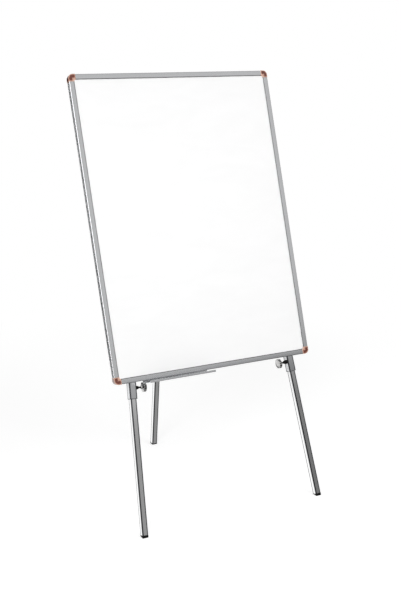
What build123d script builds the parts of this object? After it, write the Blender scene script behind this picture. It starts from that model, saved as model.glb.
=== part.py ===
from build123d import *

import os
from math import cos, radians, sin, tan

os.makedirs("parts", exist_ok=True)

# A whiteboard easel. Millimetres and degrees. X runs to the right as one faces the board, Y to the
# back and Z up; the floor is at Z = 0 and the origin is under the middle of the whole easel.

# How the easel stands
board_width = 730.0
board_height = 1000.0
board_lean = 19.25  # back from upright
board_foot_height = 480.0  # floor to the frame's front lower edge
leg_inset = 67.5  # board's side edge to the middle of each front leg, at the lower edge
leg_splay = 3.9  # each front leg away from the board's own upright
leg_opening = 26.25  # between the board and the rear leg, set by the hinge's stop
hinge_drop = 71.0  # board's top edge down to the hinge pin

# Frame extrusion, one section for all four rails
rail_face = 18.0
rail_depth = 18.0
rail_wall = 1.4
lip_reach = 6.0  # how far the lips lap over the panel
lip_depth = 3.0  # the front lip, which stands proud of the writing surface
groove_mouth = 10.5  # accessory groove along the rail's outer side
groove_width = 14.0
groove_room = 2.6
outer_edge_radius = 2.5
lip_edge_radius = 1.2

# Panel
sheet_thickness = 0.35
core_thickness = 8.0
backing_thickness = 0.25
panel_gap = 0.6  # between the panel's edge and the bottom of its slot
slot_clearance = 0.1

# Corner pieces
corner_leg = 24.0
corner_proud = 0.6
corner_radius = 15.0
corner_edge_radius = 0.8
tongue_length = 18.0
tongue_clearance = 0.15
corner_screw_diameter = 2.5
corner_screw_head = 5.0
corner_screw_head_height = 1.8
corner_screw_head_radius = 1.1
corner_screw_length = 9.0
corner_screw_along = 9.0  # from the corner piece's end to its screw

# Pen tray, which slides in the bottom rail's groove
tray_length = 234.0
tray_centre = -149.0
tray_reach = 58.0
tray_drop = 8.0
tray_wall = 1.6
tray_lip = 7.0
tray_edge_radius = 0.7
hanger_thickness = 3.0
hanger_clearance = 0.35

# Tubes
outer_size = 25.0
inner_size = 20.0
tube_wall = 1.2
tube_corner = 1.6
inner_length = 900.0
front_outer_below = 52.5  # front outer tubes, below the board's lower edge
front_outer_top_gap = 2.5  # top edge of the board to the end of the tubes
rear_outer_past = 8.5  # how far the folded rear tube ends below the front ones

# Plastic ends
plug_depth = 14.0
plug_clearance = 0.1
cap_thickness = 1.5
bush_length = 22.0
bush_flange = 1.5
bush_play = 0.15
slide_plug_length = 12.0
slide_plug_play = 0.15
rear_plug_gap = 0.8  # between the rear tube's cap and the hinge pin
foot_overhang = 0.3
foot_thickness = 5.5

# Saddles that hold the front outer tubes against the frame
saddle_thickness = 2.0
saddle_width = 12.0
saddle_ear = 16.0
saddle_clearance = 0.1
saddle_screw_diameter = 3.9
saddle_screw_head = 7.0
saddle_screw_head_height = 2.2
saddle_screw_head_radius = 1.3
saddle_screw_length = 8.0
screw_clearance = 0.1

# Crossbar and its joining plates
crossbar_end_gap = 0.4
plate_thickness = 2.0
plate_length = 64.0
plate_height = 20.0
plate_corner = 3.0
rivet_diameter = 4.0
rivet_head = 7.5
rivet_head_height = 1.4
rivet_head_radius = 0.8
rivet_pitch = 11.0
rivet_tail = 1.5
plate_past_tube = 8.0  # past the middle of the outer tube
plate_bar_rivets = 40.0  # middle of the outer tube to the rivets on the crossbar

# Rear hinge
bracket_thickness = 2.5
bracket_width = 74.0
bracket_height = 36.0
bracket_corner = 4.0
ear_radius = 11.0
pin_diameter = 8.0
pin_clearance = 0.05
pin_standoff = 17.0  # bracket's base to the pin
washer_thickness = 1.0
washer_diameter = 16.0
washer_play = 0.1
bolt_head_across = 13.0
bolt_head_height = 5.5
nut_height = 8.0
bolt_tail = 2.5
heel_gap = 0.2  # between the rear tube's heel and its stop
bracket_rivet_across = 26.0
bracket_rivet_pitch = 12.0

# Clamp screws
clamp_height = 34.0  # above the outer tube's lower end
stud_diameter = 6.0
stud_clearance = 0.05
boss_diameter = 14.0
boss_tip_diameter = 9.5
boss_height = 11.0
boss_base_height = 2.75
knob_diameter = 34.0
knob_start = 19.0
knob_height = 16.0
knob_hub_diameter = 13.0
knob_rim = 6.0
knob_neck_height = 3.0  # hub's end to where the knob's back begins to spread
knob_neck_flare = 1.5
knob_rim_back = 3.0  # back edge of the rim, below the stud's end
knob_back_bevel = 1.5
knob_front_bevel = 2.0
knob_front_bevel_height = 2.5
knob_face_ring = 4.5  # knob's edge to the inside of its flat ring
knob_dish_slope = 1.5
knob_dish_depth = 1.5
knob_scallops = 8
scallop_radius = 5.0
scallop_depth = 1.6
pad_play = 0.05
pad_diameter = 5.6
pad_thickness = 1.4

# Worked out from the sizes above
lean = radians(board_lean)
splay = radians(leg_splay)
rear_lean = radians(leg_opening - board_lean)
leg_spread = board_width / 2 - leg_inset
hinge_height = board_height - hinge_drop
rear_outer_length = hinge_height + front_outer_below + rear_outer_past
panel_thickness = sheet_thickness + core_thickness + backing_thickness
slot_depth = panel_thickness + 2 * slot_clearance
slot_start = rail_face - lip_reach
groove_depth = rail_wall + groove_room
chamber_start = groove_depth + rail_wall
chamber_end = slot_start - rail_wall
chamber_middle = (chamber_start + chamber_end) / 2
outer_bore = outer_size - 2 * tube_wall
inner_bore = inner_size - 2 * tube_wall
tube_depth = rail_depth + outer_size / 2
pin_depth = rail_depth + outer_size + bracket_thickness + pin_standoff
opening = radians(leg_opening)
heel = (pin_standoff - outer_size / 2 * cos(opening) - heel_gap) / sin(opening)

across_dir = Vector(1, 0, 0)
up_dir = Vector(0, sin(lean), cos(lean))
out_dir = Vector(0, -cos(lean), sin(lean))


def depth_reach(up, out):
    """How far back of the frame's front lower edge a point given up and out of the board lies."""
    return up * sin(lean) - out * cos(lean)


# The easel's middle lies halfway between the front of the front feet and the back of the rear foot.
front_foot_out = inner_size / 2 + foot_overhang - tube_depth
front_foot_up = -(board_foot_height + front_foot_out * sin(lean)) / cos(lean)
pin_height = board_foot_height + hinge_height * cos(lean) - pin_depth * sin(lean)
rear_foot_back = pin_height * tan(rear_lean) + (inner_size / 2 + foot_overhang) / cos(rear_lean)
easel_front = depth_reach(front_foot_up, front_foot_out)
easel_back = depth_reach(hinge_height, -pin_depth) + rear_foot_back
board_origin = Vector(0, -(easel_front + easel_back) / 2, board_foot_height)


def board_step(across, up, out):
    """A step given across the board, up it and out of its face."""
    return across_dir * across + up_dir * up + out_dir * out


def board_plane(across=0.0, up=0.0, out=0.0):
    """A plane parallel to the board's face, facing out, through a point given on the board."""
    return Plane(origin=board_origin + board_step(across, up, out), x_dir=across_dir, z_dir=out_dir)


def save(piece, name):
    """Label a finished piece and write it to its own file."""
    piece.label = name
    export_step(piece, f"parts/{name}.step")


# Panel: a white enamelled steel sheet on a fibreboard core, with a thin steel sheet behind it
panel_margin = slot_start + panel_gap
panel_width = board_width - 2 * panel_margin
panel_height = board_height - 2 * panel_margin
sheet_back = lip_depth + slot_clearance + sheet_thickness
core_back = sheet_back + core_thickness
backing_back = core_back + backing_thickness


def panel_layer(back_depth, thickness):
    """One full-size layer of the panel, given the depth of its back below the frame's face."""
    with BuildPart() as layer:
        with BuildSketch(board_plane(0, board_height / 2, -back_depth)):
            Rectangle(panel_width, panel_height)
        extrude(amount=thickness)
    return layer.part


save(panel_layer(sheet_back, sheet_thickness), "writing_sheet")
save(panel_layer(core_back, core_thickness), "board_core")
save(panel_layer(backing_back, backing_thickness), "backing_sheet")


# Front legs: a point along a leg is given by its distance up the tube from the board's lower edge.
def leg_on_board(side, along, across=0.0):
    """Across and up the board, for a point along a front leg and to the right of its middle."""
    point_across = side * (leg_spread - along * sin(splay)) + across * cos(splay)
    point_up = along * cos(splay) + side * across * sin(splay)
    return (point_across, point_up)


def leg_plane(side, along=0.0):
    """A plane square across a front leg; its Y points to the back and its normal up the tube."""
    across, up = leg_on_board(side, along)
    origin = board_origin + board_step(across, up, -tube_depth)
    right = board_step(cos(splay), side * sin(splay), 0)
    return Plane(origin=origin, x_dir=right, z_dir=board_step(-side * sin(splay), cos(splay), 0))


def rear_plane(along=0.0):
    """A plane square across the rear leg, measured up the tube from the hinge pin."""
    pin = board_origin + board_step(0, hinge_height, -pin_depth)
    up_tube = Vector(0, -sin(rear_lean), cos(rear_lean))
    return Plane(origin=pin + up_tube * along, x_dir=across_dir, z_dir=up_tube)


front_floor = -(board_foot_height - tube_depth * sin(lean)) / (cos(splay) * cos(lean))
rear_floor = -pin_height / cos(rear_lean)
front_outer_low = -front_outer_below
front_outer_high = (board_height - front_outer_top_gap) / cos(splay)
lower_saddle_up = chamber_middle
upper_saddle_up = board_height - chamber_middle
saddle_screw_across = outer_size / 2 + saddle_thickness + saddle_ear / 2
sides = {"left": -1, "right": 1}


def saddle_screw_points(up):
    """Where both legs' saddle screws go at one height up the board, two to a saddle."""
    leg_across = leg_spread - up * tan(splay)
    return [
        (side * leg_across + reach * saddle_screw_across, up)
        for side in sides.values()
        for reach in (-1, 1)
    ]


# Frame rails: one aluminium section, cut to four lengths, with the panel held in its inner slot
def rail(across, up, inward, length, screw_points):
    """A rail centred on a point of the board's outer edge; inward points to the board's middle."""
    plane = Plane(
        origin=board_origin + board_step(across, up, 0),
        x_dir=inward,
        z_dir=inward.cross(out_dir * -1),
    )
    with BuildPart() as piece:
        with BuildSketch(plane) as section:
            Rectangle(rail_face, rail_depth, align=(Align.MIN, Align.MIN))
            fillet(section.vertices().group_by(Axis.Y)[0].sort_by(Axis.X)[0], outer_edge_radius)
            fillet(section.vertices().group_by(Axis.Y)[0].sort_by(Axis.X)[-1], lip_edge_radius)
            with Locations((slot_start, lip_depth)):
                Rectangle(lip_reach, slot_depth, align=(Align.MIN, Align.MIN), mode=Mode.SUBTRACT)
            pocket_front = lip_depth + slot_depth + rail_wall
            with Locations((slot_start, pocket_front)):
                Rectangle(
                    lip_reach,
                    rail_depth - rail_wall - pocket_front,
                    align=(Align.MIN, Align.MIN),
                    mode=Mode.SUBTRACT,
                )
            with Locations((chamber_start, rail_wall)):
                Rectangle(
                    chamber_end - chamber_start,
                    rail_depth - 2 * rail_wall,
                    align=(Align.MIN, Align.MIN),
                    mode=Mode.SUBTRACT,
                )
            with Locations((0, rail_depth / 2)):
                Rectangle(
                    rail_wall, groove_mouth, align=(Align.MIN, Align.CENTER), mode=Mode.SUBTRACT
                )
            with Locations((rail_wall, rail_depth / 2)):
                Rectangle(
                    groove_room, groove_width, align=(Align.MIN, Align.CENTER), mode=Mode.SUBTRACT
                )
        extrude(amount=length / 2, both=True)
        with BuildSketch(board_plane(0, 0, -rail_depth)):
            with Locations(*corner_screw_points()):
                Circle(corner_screw_diameter / 2 + screw_clearance)
            if screw_points:
                with Locations(*screw_points):
                    Circle(saddle_screw_diameter / 2 + screw_clearance)
        extrude(amount=rail_wall, mode=Mode.SUBTRACT)
    return piece.part


def corner_screw_points():
    """Where the screws go through the rails' backs into the corner pieces' tongues."""
    near = chamber_middle
    far = corner_leg + corner_screw_along
    points = []
    for across_side in (-1, 1):
        for up_side in (-1, 1):
            for from_side, from_end in ((near, far), (far, near)):
                across = across_side * (board_width / 2 - from_side)
                up = board_height / 2 + up_side * (board_height / 2 - from_end)
                points.append((across, up))
    return points


flat_rail_length = board_width - 2 * corner_leg
upright_rail_length = board_height - 2 * corner_leg
half_width = board_width / 2
half_height = board_height / 2
save(
    rail(0, board_height, up_dir * -1, flat_rail_length, saddle_screw_points(upper_saddle_up)),
    "top_rail",
)
save(
    rail(0, 0, up_dir, flat_rail_length, saddle_screw_points(lower_saddle_up)),
    "bottom_rail",
)
save(rail(-half_width, half_height, across_dir, upright_rail_length, []), "left_rail")
save(rail(half_width, half_height, across_dir * -1, upright_rail_length, []), "right_rail")


# Corner pieces: moulded plastic, with a tongue into each rail and a slot for the panel's corner
with BuildPart() as bottom_left_corner:
    with BuildSketch(board_plane(-half_width, 0, -rail_depth - corner_proud)) as outline:
        with Locations((-corner_proud, -corner_proud)):
            body_size = corner_leg + corner_proud
            Rectangle(body_size, body_size, align=(Align.MIN, Align.MIN))
        fillet(outline.vertices().group_by(Axis.Y)[0].sort_by(Axis.X)[0], corner_radius)
        notch = corner_leg - rail_face - corner_proud
        with Locations((rail_face + corner_proud, rail_face + corner_proud)):
            Rectangle(notch, notch, align=(Align.MIN, Align.MIN), mode=Mode.SUBTRACT)
    extrude(amount=rail_depth + 2 * corner_proud)
    front_face = bottom_left_corner.faces().sort_by(Axis(board_origin, out_dir))[-1]
    fillet(front_face.edges(), corner_edge_radius)
    with BuildSketch(board_plane(-half_width, 0, -lip_depth - slot_depth)):
        with Locations((slot_start, slot_start)):
            slot_size = corner_leg - slot_start
            Rectangle(slot_size, slot_size, align=(Align.MIN, Align.MIN))
    extrude(amount=slot_depth, mode=Mode.SUBTRACT)
    with BuildSketch(board_plane(-half_width, 0, -rail_depth + rail_wall + tongue_clearance)):
        tongue_width = chamber_end - chamber_start - 2 * tongue_clearance
        with Locations((corner_leg, chamber_middle)):
            Rectangle(tongue_length, tongue_width, align=(Align.MIN, Align.CENTER))
        with Locations((chamber_middle, corner_leg)):
            Rectangle(tongue_width, tongue_length, align=(Align.CENTER, Align.MIN))
    extrude(amount=rail_depth - 2 * rail_wall - 2 * tongue_clearance)
    with BuildSketch(board_plane(0, 0, -rail_depth)):
        with Locations(*corner_screw_points()):
            Circle(corner_screw_diameter / 2 + screw_clearance)
    extrude(amount=rail_depth - rail_wall, mode=Mode.SUBTRACT)
across_middle = Plane.YZ
up_middle = Plane(origin=board_origin + board_step(0, half_height, 0), z_dir=up_dir)
with BuildPart() as bottom_right_corner:
    mirror(bottom_left_corner.part, about=across_middle)
with BuildPart() as top_left_corner:
    mirror(bottom_left_corner.part, about=up_middle)
with BuildPart() as top_right_corner:
    mirror(top_left_corner.part, about=across_middle)
save(bottom_left_corner.part, "bottom_left_corner")
save(bottom_right_corner.part, "bottom_right_corner")
save(top_left_corner.part, "top_left_corner")
save(top_right_corner.part, "top_right_corner")


# Screws, rivets: a turned profile of head and shank
def fastener(plane, head, head_height, head_radius, shank, shank_length):
    """A round-headed screw or rivet; its head stands on the plane and its shank goes behind it."""
    with BuildPart() as piece:
        with BuildSketch(plane):
            Circle(head / 2)
        extrude(amount=head_height)
        top = piece.faces().sort_by(Axis(plane.origin, plane.z_dir))[-1]
        fillet(top.edges(), head_radius)
        with BuildSketch(plane):
            Circle(shank / 2)
        extrude(amount=-shank_length)
    return piece.part


with BuildPart() as corner_screws:
    for across, up in corner_screw_points():
        back_plane = Plane(
            origin=board_origin + board_step(across, up, -rail_depth),
            x_dir=across_dir,
            z_dir=out_dir * -1,
        )
        add(
            fastener(
                back_plane,
                corner_screw_head,
                corner_screw_head_height,
                corner_screw_head_radius,
                corner_screw_diameter,
                corner_screw_length,
            )
        )
save(corner_screws.part, "corner_screws")


# Outer tubes of the front legs, with a hole for each clamp screw
def square_tube(plane, size, low, high):
    """A square tube with rounded corners, along the plane's normal from low to high."""
    with BuildPart() as tube:
        with BuildSketch(plane.offset(low)):
            RectangleRounded(size, size, tube_corner)
            bore = size - 2 * tube_wall
            RectangleRounded(bore, bore, tube_corner - tube_wall, mode=Mode.SUBTRACT)
        extrude(amount=high - low)
    return tube.part


def clamp_plane(leg, along, inward):
    """On the middle of a tube's side face, at a distance along it; the normal points inward."""
    middle = leg.offset(along)
    outward = middle.x_dir * inward
    return Plane(origin=middle.origin + outward * (outer_size / 2), x_dir=middle.z_dir, z_dir=outward)


clamp_planes = {
    "left": clamp_plane(leg_plane(-1), front_outer_low + clamp_height, 1),
    "right": clamp_plane(leg_plane(1), front_outer_low + clamp_height, -1),
    "rear": clamp_plane(rear_plane(), clamp_height - rear_outer_length, 1),
}


def drill_stud_hole(name):
    """Take the clamp screw's hole out of the tube wall of the part being built."""
    with BuildSketch(clamp_planes[name]) as hole:
        Circle(stud_diameter / 2 + stud_clearance)
    extrude(hole.sketch, amount=-tube_wall, mode=Mode.SUBTRACT)


# Where the joining plates' rivets go: two in each outer tube and two in the crossbar beside it
crossbar_back = rail_depth + outer_size
tube_at_crossbar = leg_spread - hinge_height * tan(splay)


def plate_rivet_points(side):
    """Across and up the board, for the four rivets of one joining plate."""
    half_pitch = rivet_pitch / 2
    bar_across = tube_at_crossbar - plate_bar_rivets
    tube_points = [
        (side * (tube_at_crossbar - rise * tan(splay)), hinge_height + rise)
        for rise in (-half_pitch, half_pitch)
    ]
    bar_points = [(side * (bar_across + step), hinge_height) for step in (-half_pitch, half_pitch)]
    return tube_points + bar_points


def drill_rivet_holes(points, depth, thickness):
    """Take rivet holes out of the part being built, from a depth behind the frame's face forward."""
    with BuildSketch(board_plane(0, 0, -depth)) as holes:
        with Locations(*points):
            Circle(rivet_diameter / 2 + screw_clearance)
    extrude(holes.sketch, amount=thickness, mode=Mode.SUBTRACT)


all_plate_rivets = plate_rivet_points(-1) + plate_rivet_points(1)
bracket_rivet_points = [
    (across, hinge_height + rise)
    for across in (-bracket_rivet_across, bracket_rivet_across)
    for rise in (-bracket_rivet_pitch / 2, bracket_rivet_pitch / 2)
]


# Outer tubes
def front_outer_tube(name, side):
    """One front leg's outer tube, from just under the board's top edge to below its lower edge."""
    with BuildPart() as tube:
        add(square_tube(leg_plane(side), outer_size, front_outer_low, front_outer_high))
        drill_stud_hole(name)
        drill_rivet_holes(plate_rivet_points(side)[:2], crossbar_back, tube_wall)
    return tube.part


for side_name, side in sides.items():
    save(front_outer_tube(side_name, side), f"{side_name}_outer_tube")

pin_plane = Plane(origin=rear_plane().origin, x_dir=out_dir * -1, z_dir=across_dir)
with BuildPart() as rear_outer_tube:
    add(square_tube(rear_plane(), outer_size, -rear_outer_length, heel - cap_thickness))
    drill_stud_hole("rear")
    with BuildSketch(pin_plane):
        Circle(pin_diameter / 2 + pin_clearance)
    extrude(amount=outer_size, both=True, mode=Mode.SUBTRACT)
save(rear_outer_tube.part, "rear_outer_tube")


# Plastic caps in the tops of the outer tubes, and bushes in their lower ends
def square_prism(plane, size, corner, low, high):
    """Add a square block with rounded corners to the part being built."""
    with BuildSketch(plane.offset(low)) as square:
        RectangleRounded(size, size, corner)
    extrude(square.sketch, amount=high - low)


def tube_cap(plane, end, depth):
    """A cap whose flange covers the tube's end and whose plug goes down inside it."""
    with BuildPart() as cap:
        square_prism(plane, outer_size, tube_corner, end, end + cap_thickness)
        bore = outer_bore - 2 * plug_clearance
        square_prism(plane, bore, tube_corner - tube_wall, end - depth, end)
    return cap.part


def tube_bush(plane, end):
    """A guide bush: a thin sleeve inside the outer tube's lower end, with a flange under it."""
    with BuildPart() as bush:
        square_prism(plane, outer_size, tube_corner, end - bush_flange, end)
        sleeve = outer_bore - 2 * plug_clearance
        square_prism(plane, sleeve, tube_corner - tube_wall, end, end + bush_length)
        with BuildSketch(plane.offset(end - bush_flange)):
            way = inner_size + 2 * bush_play
            RectangleRounded(way, way, tube_corner)
        extrude(amount=bush_flange + bush_length, mode=Mode.SUBTRACT)
    return bush.part


for side_name, side in sides.items():
    save(tube_cap(leg_plane(side), front_outer_high, plug_depth), f"{side_name}_tube_cap")
    save(tube_bush(leg_plane(side), front_outer_low), f"{side_name}_bush")
rear_plug_depth = heel - cap_thickness - pin_diameter / 2 - rear_plug_gap
save(tube_cap(rear_plane(), heel - cap_thickness, rear_plug_depth), "rear_tube_cap")
save(tube_bush(rear_plane(), -rear_outer_length), "rear_bush")


# Saddles: steel straps round the front outer tubes, screwed to the backs of the flat rails
def saddle(side, up):
    """A strap that holds one outer tube against the frame's back, at a height up the board."""
    plane = leg_plane(side, up / cos(splay))
    inner_half = outer_size / 2 + saddle_clearance
    outer_half = inner_half + saddle_thickness
    face = -outer_size / 2
    with BuildPart() as strap:
        with BuildSketch(plane) as section:
            with Locations((0, face)):
                Rectangle(2 * outer_half, outer_half - face, align=(Align.CENTER, Align.MIN))
            fillet(section.vertices().group_by(Axis.Y)[-1], tube_corner + saddle_thickness)
            with Locations((0, face)):
                Rectangle(
                    2 * (outer_half + saddle_ear),
                    saddle_thickness,
                    align=(Align.CENTER, Align.MIN),
                )
                Rectangle(
                    2 * inner_half,
                    inner_half - face,
                    align=(Align.CENTER, Align.MIN),
                    mode=Mode.SUBTRACT,
                )
        extrude(amount=saddle_width / 2, both=True)
        with BuildSketch(board_plane(0, 0, -rail_depth - saddle_thickness)):
            with Locations(*saddle_screw_points(up)):
                Circle(saddle_screw_diameter / 2 + screw_clearance)
        extrude(amount=saddle_thickness, mode=Mode.SUBTRACT)
    return strap.part


for side_name, side in sides.items():
    save(saddle(side, lower_saddle_up), f"{side_name}_lower_saddle")
    save(saddle(side, upper_saddle_up), f"{side_name}_upper_saddle")


def back_plane(across, up, depth):
    """A plane facing back, at a depth behind the frame's face, through a point on the board."""
    origin = board_origin + board_step(across, up, -depth)
    return Plane(origin=origin, x_dir=across_dir, z_dir=out_dir * -1)


with BuildPart() as saddle_screws:
    for across, up in saddle_screw_points(lower_saddle_up) + saddle_screw_points(upper_saddle_up):
        screw_plane = back_plane(across, up, rail_depth + saddle_thickness)
        add(
            fastener(
                screw_plane,
                saddle_screw_head,
                saddle_screw_head_height,
                saddle_screw_head_radius,
                saddle_screw_diameter,
                saddle_screw_length,
            )
        )
save(saddle_screws.part, "saddle_screws")


# Crossbar between the outer tubes, with a joining plate over each end
bar_plane = Plane(
    origin=board_origin + board_step(0, hinge_height, -tube_depth),
    x_dir=up_dir,
    z_dir=across_dir,
)
tube_half_across = outer_size / 2 / cos(splay)
bar_half = tube_at_crossbar - tube_half_across - outer_size / 2 * tan(splay) - crossbar_end_gap
with BuildPart() as crossbar:
    add(square_tube(bar_plane, outer_size, -bar_half, bar_half))
    drill_rivet_holes(
        plate_rivet_points(-1)[2:] + plate_rivet_points(1)[2:] + bracket_rivet_points,
        crossbar_back,
        tube_wall,
    )
save(crossbar.part, "crossbar")

for side_name, side in sides.items():
    plate_middle = side * (tube_at_crossbar + plate_past_tube - plate_length / 2)
    with BuildPart() as joining_plate:
        with BuildSketch(board_plane(plate_middle, hinge_height, -crossbar_back - plate_thickness)):
            RectangleRounded(plate_length, plate_height, plate_corner)
        extrude(amount=plate_thickness)
        drill_rivet_holes(
            plate_rivet_points(side), crossbar_back + plate_thickness, plate_thickness
        )
    save(joining_plate.part, f"{side_name}_joining_plate")

with BuildPart() as joining_rivets:
    for across, up in all_plate_rivets:
        rivet_plane = back_plane(across, up, crossbar_back + plate_thickness)
        grip = plate_thickness + tube_wall + rivet_tail
        add(
            fastener(
                rivet_plane,
                rivet_head,
                rivet_head_height,
                rivet_head_radius,
                rivet_diameter,
                grip,
            )
        )
save(joining_rivets.part, "joining_rivets")


# Hinge bracket: a base plate with two welded ears; the rear tube's heel stops against the base
ear_gap_half = outer_size / 2 + washer_thickness + 2 * washer_play
with BuildPart() as hinge_bracket:
    with BuildSketch(board_plane(0, hinge_height, -crossbar_back - bracket_thickness)):
        RectangleRounded(bracket_width, bracket_height, bracket_corner)
    extrude(amount=bracket_thickness)
    for side in sides.values():
        with BuildSketch(pin_plane.offset(side * ear_gap_half)):
            Circle(ear_radius)
            Rectangle(pin_standoff, 2 * ear_radius, align=(Align.MAX, Align.CENTER))
        extrude(amount=side * bracket_thickness)
    with BuildSketch(pin_plane):
        Circle(pin_diameter / 2 + pin_clearance)
    extrude(amount=ear_gap_half + bracket_thickness, both=True, mode=Mode.SUBTRACT)
    drill_rivet_holes(bracket_rivet_points, crossbar_back + bracket_thickness, bracket_thickness)
save(hinge_bracket.part, "hinge_bracket")

with BuildPart() as bracket_rivets:
    for across, up in bracket_rivet_points:
        rivet_plane = back_plane(across, up, crossbar_back + bracket_thickness)
        grip = bracket_thickness + tube_wall + rivet_tail
        add(
            fastener(
                rivet_plane,
                rivet_head,
                rivet_head_height,
                rivet_head_radius,
                rivet_diameter,
                grip,
            )
        )
save(bracket_rivets.part, "bracket_rivets")

ear_outside = ear_gap_half + bracket_thickness
with BuildPart() as hinge_bolt:
    with BuildSketch(pin_plane.offset(-ear_outside - bolt_head_height)):
        RegularPolygon(bolt_head_across / 2, 6, major_radius=False)
    extrude(amount=bolt_head_height)
    with BuildSketch(pin_plane.offset(-ear_outside)):
        Circle(pin_diameter / 2)
    extrude(amount=2 * ear_outside + nut_height + bolt_tail)
save(hinge_bolt.part, "hinge_bolt")

with BuildPart() as hinge_nut:
    with BuildSketch(pin_plane.offset(ear_outside)):
        RegularPolygon(bolt_head_across / 2, 6, major_radius=False)
        Circle(pin_diameter / 2 + pin_clearance, mode=Mode.SUBTRACT)
    extrude(amount=nut_height)
save(hinge_nut.part, "hinge_nut")

with BuildPart() as hinge_washers:
    for side in sides.values():
        with BuildSketch(pin_plane.offset(side * (outer_size / 2 + washer_play))):
            Circle(washer_diameter / 2)
            Circle(pin_diameter / 2 + pin_clearance, mode=Mode.SUBTRACT)
        extrude(amount=side * washer_thickness)
save(hinge_washers.part, "hinge_washers")


# Inner tubes, their feet, and the plugs that guide their upper ends inside the outer tubes
def inner_leg(name, plane, floor):
    """Write one leg's inner tube, foot and slide plug; floor is where its middle meets the floor."""
    low = floor + foot_thickness
    high = low + inner_length
    save(square_tube(plane, inner_size, low, high), f"{name}_inner_tube")
    stem = inner_bore - 2 * plug_clearance
    with BuildPart() as foot:
        square_prism(plane, stem, tube_corner - tube_wall, low, low + plug_depth)
        below = foot_thickness + inner_size / 2
        square_prism(plane, inner_size + 2 * foot_overhang, tube_corner, low - below, low)
        split(bisect_by=Plane.XY, keep=Keep.TOP)
    save(foot.part, f"{name}_foot")
    with BuildPart() as slide_plug:
        square_prism(plane, stem, tube_corner - tube_wall, high - plug_depth, high)
        head = outer_bore - 2 * slide_plug_play
        square_prism(plane, head, tube_corner - tube_wall, high, high + slide_plug_length)
    save(slide_plug.part, f"{name}_slide_plug")


for side_name, side in sides.items():
    inner_leg(side_name, leg_plane(side), front_floor)
inner_leg("rear", rear_plane(), rear_floor)


# Clamp screws: a boss on the outer tube, and a stud that presses a small pad on the inner tube
def turned(plane, profile):
    """Revolve a closed profile of radius and height points about the plane's normal."""
    profile_plane = Plane(origin=plane.origin, x_dir=plane.x_dir, z_dir=plane.y_dir * -1)
    with BuildSketch(profile_plane) as half_section:
        Polygon(*profile, align=None)
    revolve(half_section.sketch, axis=Axis(plane.origin, plane.z_dir))


pad_start = pad_play - (outer_size - inner_size) / 2
stud_start = pad_start + pad_thickness + pad_play
knob_end = knob_start + knob_height
for clamp_name, plane in clamp_planes.items():
    hole = stud_diameter / 2 + stud_clearance
    with BuildPart() as clamp_boss:
        turned(
            plane,
            [
                (hole, 0),
                (boss_diameter / 2, 0),
                (boss_diameter / 2, boss_base_height),
                (boss_tip_diameter / 2, boss_height),
                (hole, boss_height),
            ],
        )
    save(clamp_boss.part, f"{clamp_name}_clamp_boss")

    with BuildPart() as clamp_pad:
        with BuildSketch(plane.offset(pad_start)):
            Circle(pad_diameter / 2)
        extrude(amount=pad_thickness)
    save(clamp_pad.part, f"{clamp_name}_clamp_pad")

    stud_end = knob_end - knob_rim
    with BuildPart() as clamp_stud:
        with BuildSketch(plane.offset(stud_start)):
            Circle(stud_diameter / 2)
        extrude(amount=stud_end - stud_start)
    save(clamp_stud.part, f"{clamp_name}_clamp_stud")

    knob_radius = knob_diameter / 2
    hub_radius = knob_hub_diameter / 2
    rim_start = stud_end - knob_rim_back
    ring_inside = knob_radius - knob_face_ring
    with BuildPart() as clamp_knob:
        turned(
            plane,
            [
                (0, stud_end),
                (hole, stud_end),
                (hole, knob_start),
                (hub_radius, knob_start),
                (hub_radius + knob_neck_flare, knob_start + knob_neck_height),
                (knob_radius - knob_back_bevel, rim_start - knob_back_bevel),
                (knob_radius, rim_start),
                (knob_radius, knob_end - knob_front_bevel_height),
                (knob_radius - knob_front_bevel, knob_end),
                (ring_inside, knob_end),
                (ring_inside - knob_dish_slope, knob_end - knob_dish_depth),
                (0, knob_end - knob_dish_depth),
            ],
        )
        with BuildSketch(plane.offset(knob_start)):
            scallop_reach = knob_radius + scallop_radius - scallop_depth
            with PolarLocations(scallop_reach, knob_scallops):
                Circle(scallop_radius)
        extrude(amount=knob_height, mode=Mode.SUBTRACT)
    save(clamp_knob.part, f"{clamp_name}_clamp_knob")


# Pen tray: one aluminium section, whose hanger slides in the bottom rail's groove
tray_plane = Plane(
    origin=board_origin + board_step(tray_centre, 0, 0),
    x_dir=out_dir,
    z_dir=across_dir * -1,
)
with BuildPart() as pen_tray:
    with BuildSketch(tray_plane) as tray_section:
        hanger_out = -rail_depth / 2
        hanger_half = hanger_thickness / 2
        head_low = rail_wall + hanger_clearance
        with Locations((hanger_out - hanger_half, -tray_drop)):
            Rectangle(
                tray_reach - hanger_out + hanger_half, tray_wall, align=(Align.MIN, Align.MIN)
            )
        with Locations((hanger_out, -tray_drop)):
            Rectangle(hanger_thickness, tray_drop + head_low, align=(Align.CENTER, Align.MIN))
        with Locations((hanger_out, head_low)):
            Rectangle(
                groove_width - 2 * hanger_clearance,
                groove_room - 2 * hanger_clearance,
                align=(Align.CENTER, Align.MIN),
            )
        with Locations((tray_reach, -tray_drop)):
            Rectangle(tray_wall, tray_lip, align=(Align.MAX, Align.MIN))
        fillet(tray_section.vertices().group_by(Axis.X)[-1], tray_edge_radius)
    extrude(amount=tray_length / 2, both=True)
save(pen_tray.part, "pen_tray")
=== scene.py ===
from math import cos, pi, radians, sin, tan, tau

import bmesh
import bpy
import numpy as np
from mathutils import Matrix, Vector
from mathutils.geometry import tessellate_polygon


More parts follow.
